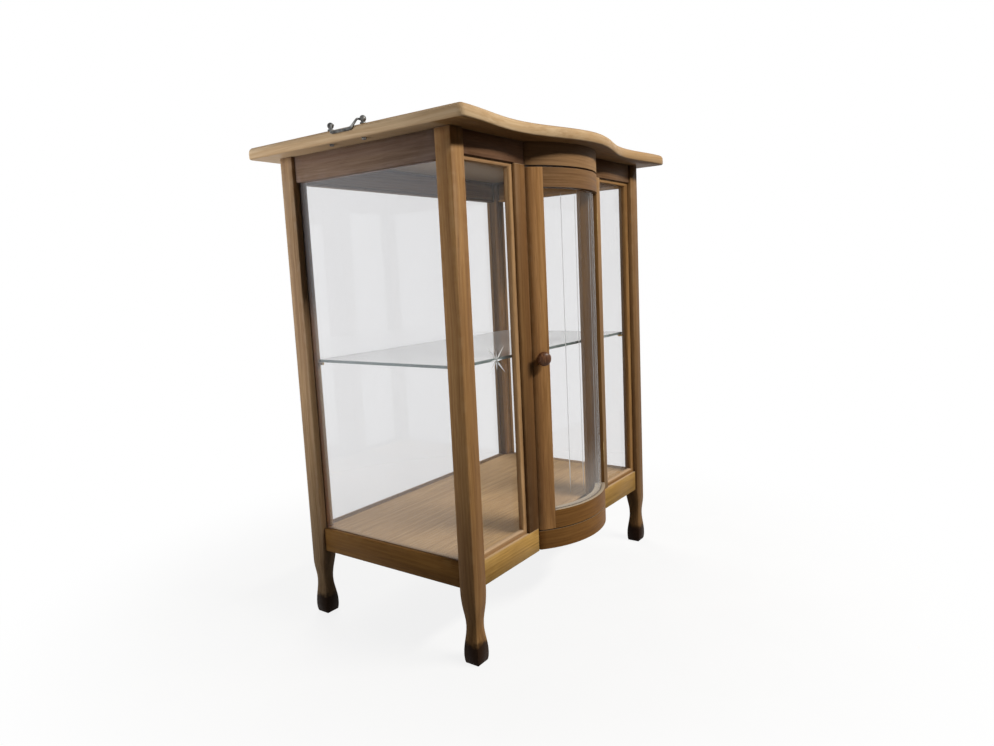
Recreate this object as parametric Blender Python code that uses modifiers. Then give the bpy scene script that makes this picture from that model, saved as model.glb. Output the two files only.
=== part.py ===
"""Glazed bow-front cabinet in oak: a framed carcass, a hinged bow door and a drop handle on the top.

Metres, +Z up. The front faces -Y and the origin lies on the ground, in the middle of the footprint.
"""

import math

import bmesh
import bpy
from mathutils import Matrix, Vector

# Fits
CLEARANCE = 0.0003
OVERCUT = 0.002

# Carcass
CARCASS_WIDTH = 0.752
CARCASS_DEPTH = 0.462
TOP_UNDERSIDE = 1.000
LEG_SIZE = 0.0365
EDGE_EASE = 0.0012
RAIL_INSET = 0.027
SIDE_RAIL_SETBACK = 0.007
BACK_RAIL_SETBACK = 0.004
FRONT_RAIL_SETBACK = 0.001
FRONT_FRAME_RECESS = 0.004
BOTTOM_RAIL_LOW = 0.147
BOTTOM_RAIL_HEIGHT = 0.051
TOP_RAIL_HEIGHT = 0.053
TENON_LENGTH = 0.014
TENON_THICKNESS = 0.008
TENON_SHOULDER = 0.009
FLOOR_THICKNESS = 0.012
FLOOR_DROP = 0.0005
CLEAT_SIZE = 0.015

# Feet, as cuts into the outer and inner faces of the square legs
SWEEP_HEIGHT = 0.122
NECK_HEIGHT = 0.076
NECK_OUTER_CUT = 0.0037
NECK_INNER_CUT = 0.0076
BELLY_HEIGHT = 0.019
BELLY_OUTER_CUT = -0.0005
BELLY_INNER_CUT = 0.0020
BASE_OUTER_CUT = 0.0028
BASE_INNER_CUT = 0.0042

# Top board
TOP_THICKNESS = 0.024
TOP_SIDE_OVERHANG = 0.040
TOP_BACK_OVERHANG = 0.055
TOP_DIP_OVERHANG = 0.044
TOP_BOW_RISE = 0.0457
TOP_FLARE = 0.015
TOP_DIP_X = 0.235
TOP_CORNER_RADIUS = 0.0115
TOP_ROUND = 0.0105
TOP_LOWER_ROUND = 0.002

# Glazing
GLASS = 0.003
REBATE = 0.006
SIDE_GLASS_SETBACK = 0.015
BACK_GLASS_SETBACK = 0.011
FRONT_GLASS_SETBACK = 0.019
MOULDING_WIDTH = 0.009
MOULDING_SETBACK = 0.0065
MOULDING_ROUND = 0.007

# Bow opening between the door posts
POST_WIDTH = 0.037
OPENING_HALF = 0.141
BOW_SAGITTA = 0.0573
BOW_SETBACK = 0.0021
BOW_THICKNESS = 0.024
ARC_STEP = math.radians(4.0)
FRIEZE_HEIGHT = 0.0455
APRON_LOW = 0.150
APRON_HEIGHT = 0.041
SILL_THICKNESS = 0.012
STOP_THICKNESS = 0.008
STOP_WIDTH = 0.024
STOP_LAP = 0.008

# Door
DOOR_GAP = 0.0024
DOOR_BOTTOM_GAP = 0.0025
DOOR_TOP_GAP = 0.0038
STILE_WIDTH = 0.0324
STILE_DEPTH = 0.038
DOOR_BOTTOM_RAIL = 0.0395
DOOR_TOP_RAIL = 0.0392
DOOR_LIP = 0.008
KNOB_HEIGHT = 0.564
KNOB_STILE_SHARE = 0.56
KNOB_RADIUS = 0.0152
KNOB_NECK_RADIUS = 0.0065
KNOB_NECK_LENGTH = 0.010
KNOB_HEAD_LENGTH = 0.017
KNOB_PEG_RADIUS = 0.005
KNOB_PEG_LENGTH = 0.020

# Butt hinges
HINGE_HEIGHT = 0.048
HINGE_LOW_INSET = 0.1065
HINGE_HIGH_INSET = 0.1057
HINGE_FORWARD = 0.0042
LEAF_THICKNESS = 0.0015
LEAF_WIDTH = 0.021
BARREL_RADIUS = 0.003
PIN_RADIUS = 0.0016
PIN_HEAD_RADIUS = 0.0027
PIN_HEAD = 0.002

# Glass shelf
SHELF_THICKNESS = 0.006
SHELF_HEIGHT = 0.568
SHELF_GAP = 0.003
STUD_RADIUS = 0.003
STUD_LENGTH = 0.018
STUD_DEPTH = 0.005

# Drop handle on the top board
HANDLE_EDGE_DISTANCE = 0.0125
HANDLE_FORWARD = 0.0065
HANDLE_SPACING = 0.088
HANDLE_AXIS_HEIGHT = 0.0095
PILLAR_BASE_RADIUS = 0.0060
PILLAR_BASE_HEIGHT = 0.003
PILLAR_STEM_RADIUS = 0.0038
PILLAR_HEAD_RADIUS = 0.0062
STUD_BOLT_RADIUS = 0.0025
NUT_RADIUS = 0.0046
NUT_HEIGHT = 0.0035
BAIL_PIN_RADIUS = 0.0019
BAIL_BAR_RADIUS = 0.0031
BAIL_ARM = 0.006
BAIL_RISE = 0.001
BAIL_OUT = 0.016
BAIL_DROP = 0.017
BAIL_NARROWING = 0.0088
BAIL_ELBOW = 0.0022
BAIL_SHOULDER = 0.005
BAIL_CORNER = 0.007

# Places that follow from the sizes
TOP_FRONT_OVERHANG = TOP_DIP_OVERHANG + TOP_BOW_RISE
TOTAL_DEPTH = TOP_BACK_OVERHANG + CARCASS_DEPTH + TOP_FRONT_OVERHANG
X_SIDE = CARCASS_WIDTH / 2
Y_BACK = TOTAL_DEPTH / 2 - TOP_BACK_OVERHANG
Y_FRONT = Y_BACK - CARCASS_DEPTH
X_LEG = X_SIDE - LEG_SIZE
X_INNER = X_SIDE - RAIL_INSET
Y_INNER_FRONT = Y_FRONT + FRONT_FRAME_RECESS + RAIL_INSET
Y_INNER_BACK = Y_BACK - RAIL_INSET
Y_LEG_FRONT = Y_FRONT + LEG_SIZE
Y_LEG_BACK = Y_BACK - LEG_SIZE
FRAME_TOP = TOP_UNDERSIDE - CLEARANCE
SIGHT_LOW = BOTTOM_RAIL_LOW + BOTTOM_RAIL_HEIGHT
SIGHT_HIGH = TOP_UNDERSIDE - TOP_RAIL_HEIGHT
FRONT_SIGHT_HIGH = SIGHT_HIGH + MOULDING_WIDTH
FLOOR_TOP = SIGHT_LOW - FLOOR_DROP
FLOOR_LOW = FLOOR_TOP - FLOOR_THICKNESS
POST_OUTER = OPENING_HALF + POST_WIDTH

BOW_RADIUS = (OPENING_HALF**2 + BOW_SAGITTA**2) / (2 * BOW_SAGITTA)
BOW_CENTRE_Y = Y_FRONT + BOW_SETBACK - BOW_SAGITTA + BOW_RADIUS
BOW_INNER = BOW_RADIUS - BOW_THICKNESS
APRON_TOP = APRON_LOW + APRON_HEIGHT
FRIEZE_LOW = TOP_UNDERSIDE - FRIEZE_HEIGHT

DOOR_HALF = OPENING_HALF - DOOR_GAP
DOOR_LOW = APRON_TOP + DOOR_BOTTOM_GAP
DOOR_HIGH = FRIEZE_LOW - DOOR_TOP_GAP
DOOR_SIGHT_LOW = DOOR_LOW + DOOR_BOTTOM_RAIL
DOOR_SIGHT_HIGH = DOOR_HIGH - DOOR_TOP_RAIL
DOOR_EDGE_ANGLE = math.asin(DOOR_HALF / BOW_RADIUS)
STILE_ANGLE = DOOR_EDGE_ANGLE - STILE_WIDTH / BOW_RADIUS
KNOB_ANGLE = -(STILE_ANGLE + KNOB_STILE_SHARE * (DOOR_EDGE_ANGLE - STILE_ANGLE))
DOOR_CORNER_Y = BOW_CENTRE_Y - BOW_RADIUS * math.cos(DOOR_EDGE_ANGLE)
HINGE_X = OPENING_HALF - DOOR_GAP / 2
HINGE_Y = DOOR_CORNER_Y - HINGE_FORWARD

TOP_SURFACE = TOP_UNDERSIDE + TOP_THICKNESS
TOP_HALF = X_SIDE + TOP_SIDE_OVERHANG
HANDLE_X = -TOP_HALF + HANDLE_EDGE_DISTANCE
HANDLE_Y = (Y_FRONT + Y_BACK) / 2 - HANDLE_FORWARD
HANDLE_Z = TOP_SURFACE + HANDLE_AXIS_HEIGHT
BAIL_OVERHANG = BAIL_OUT + BAIL_BAR_RADIUS - HANDLE_EDGE_DISTANCE

# Colour, roughness and metallic value of each kind of surface
FINISHES = {
    "oak": ((0.27, 0.155, 0.075), 0.45, 0.0),
    "pale_oak": ((0.42, 0.30, 0.19), 0.55, 0.0),
    "dark_wood": ((0.16, 0.065, 0.03), 0.3, 0.0),
    "clear_glass": ((0.80, 0.92, 0.88), 0.05, 0.0),
    "brass": ((0.60, 0.44, 0.18), 0.35, 1.0),
    "iron": ((0.10, 0.10, 0.095), 0.45, 1.0),
}

parts = bpy.data.collections.new("bow_front_cabinet")
cutters = bpy.data.collections.new("cutters")


# Scene and object helpers
def reset_scene():
    for obj in list(bpy.data.objects):
        bpy.data.objects.remove(obj, do_unlink=True)
    for collection in (parts, cutters):
        bpy.context.scene.collection.children.link(collection)


def finish(obj, kind):
    colour, roughness, metallic = FINISHES[kind]
    material = bpy.data.materials.new(obj.name)
    material.use_nodes = True
    shader = material.node_tree.nodes["Principled BSDF"]
    shader.inputs["Base Color"].default_value = (*colour, 1.0)
    shader.inputs["Roughness"].default_value = roughness
    shader.inputs["Metallic"].default_value = metallic
    if kind == "clear_glass":
        shader.inputs["Transmission Weight"].default_value = 1.0
    obj.data.materials.clear()
    obj.data.materials.append(material)


def add_part(name, mesh, kind, parent=None):
    obj = bpy.data.objects.new(name, mesh)
    parts.objects.link(obj)
    finish(obj, kind)
    attach(obj, parent)
    return obj


def add_cutter(name, mesh):
    obj = bpy.data.objects.new(name, mesh)
    cutters.objects.link(obj)
    obj.hide_render = True
    obj.display_type = "WIRE"
    return obj


def add_empty(name, location):
    empty = bpy.data.objects.new(name, None)
    empty.location = location
    empty.empty_display_size = 0.05
    parts.objects.link(empty)
    return empty


def attach(obj, parent):
    if parent is not None:
        obj.parent = parent
        obj.matrix_parent_inverse = Matrix.Translation(-parent.location)


def boolean(obj, other, operation="DIFFERENCE"):
    modifier = obj.modifiers.new(other.name, "BOOLEAN")
    modifier.operation = operation
    modifier.solver = "EXACT"
    modifier.object = other


def ease_edges(obj, width=EDGE_EASE, segments=1):
    modifier = obj.modifiers.new("eased_edges", "BEVEL")
    modifier.width = width
    modifier.segments = segments
    modifier.limit_method = "ANGLE"
    modifier.angle_limit = math.radians(60)


# Shape helpers
def box_mesh(name, low, high):
    bm = bmesh.new()
    bmesh.ops.create_cube(bm, size=1.0)
    size = Vector(high) - Vector(low)
    bmesh.ops.scale(bm, vec=size, verts=bm.verts)
    bmesh.ops.translate(bm, vec=(Vector(low) + Vector(high)) / 2, verts=bm.verts)
    mesh = bpy.data.meshes.new(name)
    bm.to_mesh(mesh)
    bm.free()
    return mesh


def rod_mesh(name, radius, start, end, segments=16):
    start, end = Vector(start), Vector(end)
    axis = end - start
    bm = bmesh.new()
    bmesh.ops.create_cone(
        bm, cap_ends=True, segments=segments, radius1=radius, radius2=radius, depth=axis.length
    )
    turn = axis.to_track_quat("Z", "Y").to_matrix().to_4x4()
    bmesh.ops.transform(bm, matrix=Matrix.Translation((start + end) / 2) @ turn, verts=bm.verts)
    mesh = bpy.data.meshes.new(name)
    bm.to_mesh(mesh)
    bm.free()
    return mesh


def curve_object(name, splines, dimensions, cyclic):
    curve = bpy.data.curves.new(name, "CURVE")
    curve.dimensions = dimensions
    for points in splines:
        spline = curve.splines.new("POLY")
        spline.points.add(len(points) - 1)
        for point, place in zip(spline.points, points):
            point.co = (*place, 0.0, 1.0) if len(place) == 2 else (*place, 1.0)
        spline.use_cyclic_u = cyclic
    obj = bpy.data.objects.new(name, curve)
    cutters.objects.link(obj)
    return obj


def baked_mesh(obj):
    """The evaluated mesh of a curve object, in world space with its caps welded, and the curve removed."""
    depsgraph = bpy.context.evaluated_depsgraph_get()
    mesh = bpy.data.meshes.new_from_object(obj.evaluated_get(depsgraph))
    mesh.name = obj.name
    mesh.transform(obj.matrix_world)
    bm = bmesh.new()
    bm.from_mesh(mesh)
    bmesh.ops.remove_doubles(bm, verts=bm.verts, dist=0.00001)
    bmesh.ops.recalc_face_normals(bm, faces=bm.faces)
    bm.to_mesh(mesh)
    bm.free()
    curve = obj.data
    bpy.data.objects.remove(obj, do_unlink=True)
    bpy.data.curves.remove(curve)
    return mesh


def prism_mesh(name, outlines, low, high):
    """A flat outline, with any holes as further outlines, extruded from one height to another."""
    obj = curve_object(name, outlines, "2D", True)
    obj.data.fill_mode = "BOTH"
    obj.data.extrude = (high - low) / 2
    obj.location.z = (low + high) / 2
    bpy.context.view_layer.update()
    return baked_mesh(obj)


def turned_part(name, profile, steps, kind, parent=None):
    """A profile of radius and height, given from top to bottom, turned about the object's own Z axis."""
    mesh = bpy.data.meshes.new(name)
    edges = [(i, i + 1) for i in range(len(profile) - 1)]
    mesh.from_pydata([(radius, 0.0, height) for radius, height in profile], edges, [])
    obj = add_part(name, mesh, kind, parent)
    screw = obj.modifiers.new("turned", "SCREW")
    screw.angle = math.tau
    screw.steps = steps
    screw.render_steps = steps
    screw.use_merge_vertices = True
    screw.merge_threshold = 0.00001
    screw.use_smooth_shade = steps > 8
    return obj


def arc_angles(start, end):
    """Angles from start to end, with shared stops between them so that nested arcs stay parallel."""
    first = math.ceil(start / ARC_STEP + 0.2)
    last = math.floor(end / ARC_STEP - 0.2)
    return [start] + [i * ARC_STEP for i in range(first, last + 1)] + [end]


def bow_point(radius, angle):
    return (radius * math.sin(angle), BOW_CENTRE_Y - radius * math.cos(angle))


def bow_arc(radius, start, end):
    if start > end:
        return list(reversed(bow_arc(radius, end, start)))
    return [bow_point(radius, angle) for angle in arc_angles(start, end)]


def sector_mesh(name, inner, outer, start, end, low, high):
    outline = bow_arc(outer, start, end) + bow_arc(inner, end, start)
    return prism_mesh(name, [outline], low, high)


def quarter_arc(centre, radius, start_degrees, steps=4):
    return [
        (
            centre[0] + radius * math.cos(math.radians(start_degrees + 90 * i / steps)),
            centre[1] + radius * math.sin(math.radians(start_degrees + 90 * i / steps)),
        )
        for i in range(steps + 1)
    ]


# Places on the four sides of the carcass
def on_side(side, along, depth):
    """World x and y of a point along a side, at a depth in from the outer face of its frame."""
    return {
        "left": (-X_SIDE + depth, along),
        "right": (X_SIDE - depth, along),
        "back": (along, Y_BACK - depth),
        "front": (along, Y_FRONT + FRONT_FRAME_RECESS + depth),
    }[side]


def side_box(name, side, along, depth, height):
    first = on_side(side, along[0], depth[0])
    second = on_side(side, along[1], depth[1])
    low = (min(first[0], second[0]), min(first[1], second[1]), height[0])
    high = (max(first[0], second[0]), max(first[1], second[1]), height[1])
    return box_mesh(name, low, high)


def side_ring(name, side, along, depth, height, width):
    """A rectangular frame that lies in a side, measured over its outside."""
    corners = [(along[i], height[j]) for i, j in ((0, 0), (1, 0), (1, 1), (0, 1))]
    grow = [(1, 1), (-1, 1), (-1, -1), (1, -1)]
    hole = [(u + width * du, z + width * dz) for (u, z), (du, dz) in zip(corners, grow)]
    mesh = prism_mesh(name, [corners, hole], -abs(depth[1] - depth[0]) / 2, abs(depth[1] - depth[0]) / 2)
    upright = Matrix.Rotation(math.pi / 2, 4, "X")
    if side in ("left", "right"):
        upright = Matrix.Rotation(math.pi / 2, 4, "Z") @ upright
    mesh.transform(Matrix.Translation((*on_side(side, 0.0, sum(depth) / 2), 0.0)) @ upright)
    return mesh


# Legs
def leg_cut(height, start, neck, belly, base):
    """How far a face of a leg lies in from the face of its square post at one height."""
    if height >= start:
        return 0.0
    if height >= NECK_HEIGHT:
        share = (start - height) / (start - NECK_HEIGHT)
        return neck * math.sin(share * math.pi / 2) ** 2
    if height >= BELLY_HEIGHT:
        share = (NECK_HEIGHT - height) / (NECK_HEIGHT - BELLY_HEIGHT)
        return neck + (belly - neck) * math.sin(share * math.pi / 2) ** 2
    return base + (belly - base) * math.sqrt(1 - (1 - height / BELLY_HEIGHT) ** 2)


def leg_heights(steps=7):
    """Heights of the sections of a leg, from where its inner faces start to sweep in down to the ground."""
    heights = []
    for high, low in ((BOTTOM_RAIL_LOW, NECK_HEIGHT), (NECK_HEIGHT, BELLY_HEIGHT)):
        heights += [high + (low - high) * i / steps for i in range(steps)]
    return heights + [BELLY_HEIGHT * (1 - math.sin(i / steps * math.pi / 2)) for i in range(steps + 1)]


def leg_mesh(name, side_sign, depth_sign):
    """A square post extruded down from its head, section by section, to a swelling foot."""
    bm = bmesh.new()
    bmesh.ops.create_grid(bm, x_segments=1, y_segments=1, size=LEG_SIZE / 2)
    bmesh.ops.translate(bm, vec=(0.0, 0.0, FRAME_TOP), verts=bm.verts)
    section = next(iter(bm.faces))
    for height in leg_heights():
        grown = bmesh.ops.extrude_face_region(bm, geom=[section, *section.edges])["geom"]
        section = next(item for item in grown if isinstance(item, bmesh.types.BMFace))
        outer = LEG_SIZE / 2 - leg_cut(
            height, SWEEP_HEIGHT, NECK_OUTER_CUT, BELLY_OUTER_CUT, BASE_OUTER_CUT
        )
        inner = LEG_SIZE / 2 - leg_cut(
            height, BOTTOM_RAIL_LOW, NECK_INNER_CUT, BELLY_INNER_CUT, BASE_INNER_CUT
        )
        for vert in section.verts:
            vert.co.x = side_sign * (outer if vert.co.x * side_sign > 0 else -inner)
            vert.co.y = depth_sign * (outer if vert.co.y * depth_sign > 0 else -inner)
            vert.co.z = height
    bmesh.ops.recalc_face_normals(bm, faces=bm.faces)
    mesh = bpy.data.meshes.new(name)
    bm.to_mesh(mesh)
    bm.free()
    return mesh


def build_legs():
    legs = {}
    for depth_name, depth_sign, face in (("front", -1, Y_FRONT), ("rear", 1, Y_BACK)):
        for side, side_sign in (("left", -1), ("right", 1)):
            name = f"{depth_name}_{side}_leg"
            leg = add_part(name, leg_mesh(name, side_sign, depth_sign), "oak")
            leg.location = (side_sign * (X_SIDE - LEG_SIZE / 2), face - depth_sign * LEG_SIZE / 2, 0.0)
            ease_edges(leg)
            legs[f"{depth_name}_{side}"] = leg
    return legs


# Rails, with stub tenons in the members that carry their ends
def add_rail(name, side, along, setback, height, carriers):
    low, high = along
    shown = (low + CLEARANCE, high - CLEARANCE)
    rail = add_part(name, side_box(name, side, shown, (setback, RAIL_INSET), height), "oak")
    ease_edges(rail)
    middle = (setback + RAIL_INSET) / 2
    for end, direction, carrier in ((low, -1, carriers[0]), (high, 1, carriers[1])):
        if carrier is None:
            continue
        for grow, target, operation in ((0.0, rail, "UNION"), (CLEARANCE, carrier, "DIFFERENCE")):
            reach = sorted((end - direction * OVERCUT, end + direction * (TENON_LENGTH + grow)))
            half = TENON_THICKNESS / 2 + grow
            tall = (height[0] + TENON_SHOULDER - grow, height[1] - TENON_SHOULDER + grow)
            label = f"{name}_tenon" if operation == "UNION" else f"{name}_mortise"
            block = side_box(label, side, reach, (middle - half, middle + half), tall)
            boolean(target, add_cutter(label, block), operation)
    return rail


def build_rails(legs):
    rails = {}
    bottom = (BOTTOM_RAIL_LOW, SIGHT_LOW)
    top = (SIGHT_HIGH, FRAME_TOP)
    for side in ("left", "right"):
        ends = (legs[f"front_{side}"], legs[f"rear_{side}"])
        for level, height in (("bottom", bottom), ("top", top)):
            rails[side, level] = add_rail(
                f"{side}_{level}_rail", side, (Y_LEG_FRONT, Y_LEG_BACK), SIDE_RAIL_SETBACK, height, ends
            )
    ends = (legs["rear_left"], legs["rear_right"])
    for level, height in (("bottom", bottom), ("top", top)):
        rails["back", level] = add_rail(
            f"back_{level}_rail", "back", (-X_LEG, X_LEG), BACK_RAIL_SETBACK, height, ends
        )
    for level, height in (("bottom", bottom), ("top", (FRONT_SIGHT_HIGH, FRAME_TOP))):
        rails["front_left", level] = add_rail(
            f"front_left_{level}_rail", "front", (-X_LEG, -OPENING_HALF), FRONT_RAIL_SETBACK, height,
            (legs["front_left"], None),
        )
        rails["front_right", level] = add_rail(
            f"front_right_{level}_rail", "front", (OPENING_HALF, X_LEG), FRONT_RAIL_SETBACK, height,
            (None, legs["front_right"]),
        )
    return rails


def build_posts(rails):
    posts = {}
    for side, sign in (("left", -1), ("right", 1)):
        name = f"{side}_door_post"
        along = sorted((sign * OPENING_HALF, sign * POST_OUTER))
        height = (SIGHT_LOW + CLEARANCE, FRONT_SIGHT_HIGH - CLEARANCE)
        post = add_part(name, side_box(name, "front", along, (0.0, RAIL_INSET), height), "oak")
        ease_edges(post)
        middle = (FRONT_RAIL_SETBACK + RAIL_INSET) / 2
        for level, end, direction in (("bottom", SIGHT_LOW, -1), ("top", FRONT_SIGHT_HIGH, 1)):
            carrier = rails[f"front_{side}", level]
            for grow, target, operation in ((0.0, post, "UNION"), (CLEARANCE, carrier, "DIFFERENCE")):
                reach = sorted((end - direction * OVERCUT, end + direction * (TENON_LENGTH + grow)))
                half = TENON_THICKNESS / 2 + grow
                wide = (along[0] + TENON_SHOULDER - grow, along[1] - TENON_SHOULDER + grow)
                label = f"{name}_{level}_tenon" if operation == "UNION" else f"{name}_{level}_mortise"
                block = side_box(label, "front", wide, (middle - half, middle + half), reach)
                boolean(target, add_cutter(label, block), operation)
        posts[side] = post
    return posts


# Fixed panes, each in a rebate behind a lip and held by a bead
def glaze(name, side, along, head, setback, members):
    low, high = along
    wide = (low - REBATE, high + REBATE)
    tall = (SIGHT_LOW - REBATE, head + REBATE)
    rebate = side_box(
        f"{name}_rebate", side, wide, (setback - CLEARANCE, RAIL_INSET + CLEARANCE), tall
    )
    cutter = add_cutter(f"{name}_rebate", rebate)
    for member in members:
        boolean(member, cutter)
    inside = (wide[0] + CLEARANCE, wide[1] - CLEARANCE)
    upright = (tall[0] + CLEARANCE, tall[1] - CLEARANCE)
    pane = side_box(f"{name}_glass", side, inside, (setback, setback + GLASS), upright)
    add_part(f"{name}_glass", pane, "clear_glass")
    depth = (setback + GLASS + CLEARANCE, RAIL_INSET)
    add_part(f"{name}_bead", side_ring(f"{name}_bead", side, inside, depth, upright, REBATE), "oak")


def add_moulding(name, along):
    """An ovolo frame planted in a front opening, outside its glass, with mitred corners."""
    shown = (along[0] + CLEARANCE, along[1] - CLEARANCE)
    height = (SIGHT_LOW + CLEARANCE, FRONT_SIGHT_HIGH - CLEARANCE)
    depth = (MOULDING_SETBACK, FRONT_GLASS_SETBACK - CLEARANCE)
    mesh = side_ring(name, "front", shown, depth, height, MOULDING_WIDTH)
    front = on_side("front", 0.0, MOULDING_SETBACK)[1]
    bm = bmesh.new()
    bm.from_mesh(mesh)
    bmesh.ops.dissolve_limit(bm, angle_limit=0.001, verts=bm.verts, edges=bm.edges)
    margin = MOULDING_WIDTH / 2
    inner_edges = []
    for edge in bm.edges:
        on_front = all(abs(vert.co.y - front) < CLEARANCE for vert in edge.verts)
        inside = all(
            shown[0] + margin < vert.co.x < shown[1] - margin
            and height[0] + margin < vert.co.z < height[1] - margin
            for vert in edge.verts
        )
        if on_front and inside:
            inner_edges.append(edge)
    bmesh.ops.bevel(
        bm, geom=inner_edges, offset=MOULDING_ROUND, segments=4, profile=0.5, affect="EDGES"
    )
    bm.to_mesh(mesh)
    bm.free()
    return add_part(name, mesh, "oak")


def build_glazing(legs, rails, posts):
    for side in ("left", "right"):
        members = (
            legs[f"front_{side}"], legs[f"rear_{side}"], rails[side, "bottom"], rails[side, "top"]
        )
        glaze(side, side, (Y_LEG_FRONT, Y_LEG_BACK), SIGHT_HIGH, SIDE_GLASS_SETBACK, members)
    members = (legs["rear_left"], legs["rear_right"], rails["back", "bottom"], rails["back", "top"])
    glaze("back", "back", (-X_LEG, X_LEG), SIGHT_HIGH, BACK_GLASS_SETBACK, members)
    for side, sign in (("left", -1), ("right", 1)):
        along = sorted((sign * POST_OUTER, sign * X_LEG))
        name = f"front_{side}"
        members = (legs[name], posts[side], rails[name, "bottom"], rails[name, "top"])
        glaze(name, "front", along, FRONT_SIGHT_HIGH, FRONT_GLASS_SETBACK, members)
        add_moulding(f"{name}_moulding", along)


# Bowed members above and below the door
def bow_outline(inner):
    """Plan of a bowed member that fills the opening between the front rails."""
    end_x = OPENING_HALF - CLEARANCE
    back_y = Y_INNER_FRONT - CLEARANCE
    outer_angle = math.asin(end_x / BOW_RADIUS)
    inner_angle = math.acos((BOW_CENTRE_Y - back_y) / inner)
    ends = [(end_x, back_y)], [(-end_x, back_y)]
    outside = bow_arc(BOW_RADIUS, -outer_angle, outer_angle)
    return outside + ends[0] + bow_arc(inner, inner_angle, -inner_angle) + ends[1]


def build_bow_members():
    frieze = prism_mesh("bow_frieze", [bow_outline(BOW_INNER)], FRIEZE_LOW, FRAME_TOP)
    add_part("bow_frieze", frieze, "oak")
    apron = prism_mesh("bow_apron", [bow_outline(BOW_INNER)], APRON_LOW, APRON_TOP)
    add_part("bow_apron", apron, "oak")
    radius = BOW_INNER - CLEARANCE
    front_y = Y_INNER_FRONT - CLEARANCE
    angle = math.acos((BOW_CENTRE_Y - front_y) / radius)
    sill = prism_mesh("bow_sill", [bow_arc(radius, -angle, angle)], APRON_TOP - SILL_THICKNESS, APRON_TOP)
    add_part("bow_sill", sill, "oak")


def build_floor():
    notch_x = X_LEG - CLEARANCE
    edge_x = X_INNER - CLEARANCE
    front_notch = Y_LEG_FRONT + CLEARANCE
    back_notch = Y_LEG_BACK - CLEARANCE
    front, back = Y_INNER_FRONT + CLEARANCE, Y_INNER_BACK - CLEARANCE
    right = [
        (notch_x, front), (notch_x, front_notch), (edge_x, front_notch),
        (edge_x, back_notch), (notch_x, back_notch), (notch_x, back),
    ]
    outline = right + [(-x, y) for x, y in reversed(right)]
    add_part("floor_board", prism_mesh("floor_board", [outline], FLOOR_LOW, FLOOR_TOP), "pale_oak")
    cleat_top = FLOOR_LOW - CLEARANCE
    for side in ("left", "right"):
        name = f"{side}_floor_cleat"
        along = (Y_LEG_FRONT + CLEARANCE, Y_LEG_BACK - CLEARANCE)
        depth = (RAIL_INSET + CLEARANCE, RAIL_INSET + CLEAT_SIZE)
        cleat = side_box(name, side, along, depth, (cleat_top - CLEAT_SIZE, cleat_top))
        add_part(name, cleat, "oak")


def build_door_stop():
    along = (-OPENING_HALF + STOP_LAP - STOP_WIDTH, -OPENING_HALF + STOP_LAP)
    depth = (RAIL_INSET + CLEARANCE, RAIL_INSET + STOP_THICKNESS)
    height = (FLOOR_TOP + CLEARANCE, SIGHT_HIGH)
    add_part("door_stop", side_box("door_stop", "front", along, depth, height), "oak")


# Top board, with a serpentine front
def top_front_y(x):
    dip = Y_FRONT - TOP_DIP_OVERHANG
    x = abs(x)
    if x < TOP_DIP_X:
        return dip - TOP_BOW_RISE * (0.5 + 0.5 * math.cos(math.pi * x / TOP_DIP_X))
    run = TOP_HALF - TOP_CORNER_RADIUS - TOP_DIP_X
    return dip - TOP_FLARE * (0.5 - 0.5 * math.cos(math.pi * min(1.0, (x - TOP_DIP_X) / run)))


def top_outline():
    corner_x = TOP_HALF - TOP_CORNER_RADIUS
    front = top_front_y(TOP_HALF) + TOP_CORNER_RADIUS
    back = Y_BACK + TOP_BACK_OVERHANG - TOP_CORNER_RADIUS
    steps = 36
    outline = []
    for i in range(1, steps):
        x = corner_x * (2 * i / steps - 1)
        outline.append((x, top_front_y(x)))
    corners = ((corner_x, front, 270), (corner_x, back, 0), (-corner_x, back, 90), (-corner_x, front, 180))
    for x, y, start in corners:
        outline += quarter_arc((x, y), TOP_CORNER_RADIUS, start)
    return outline


def round_rim(mesh, height, width, segments):
    """Round the rim of a flat board at one of its two faces."""
    bm = bmesh.new()
    bm.from_mesh(mesh)
    bmesh.ops.dissolve_limit(bm, angle_limit=0.001, verts=bm.verts, edges=bm.edges)
    rim = [
        edge
        for edge in bm.edges
        if all(abs(vert.co.z - height) < CLEARANCE for vert in edge.verts)
        and edge.calc_face_angle(0.0) > math.pi / 4
    ]
    bmesh.ops.bevel(bm, geom=rim, offset=width, segments=segments, profile=0.5, affect="EDGES")
    bm.to_mesh(mesh)
    bm.free()


def build_top():
    mesh = prism_mesh("top_board", [top_outline()], TOP_UNDERSIDE, TOP_SURFACE)
    round_rim(mesh, TOP_SURFACE, TOP_ROUND, 4)
    round_rim(mesh, TOP_UNDERSIDE, TOP_LOWER_ROUND, 1)
    return add_part("top_board", mesh, "oak")


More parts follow.
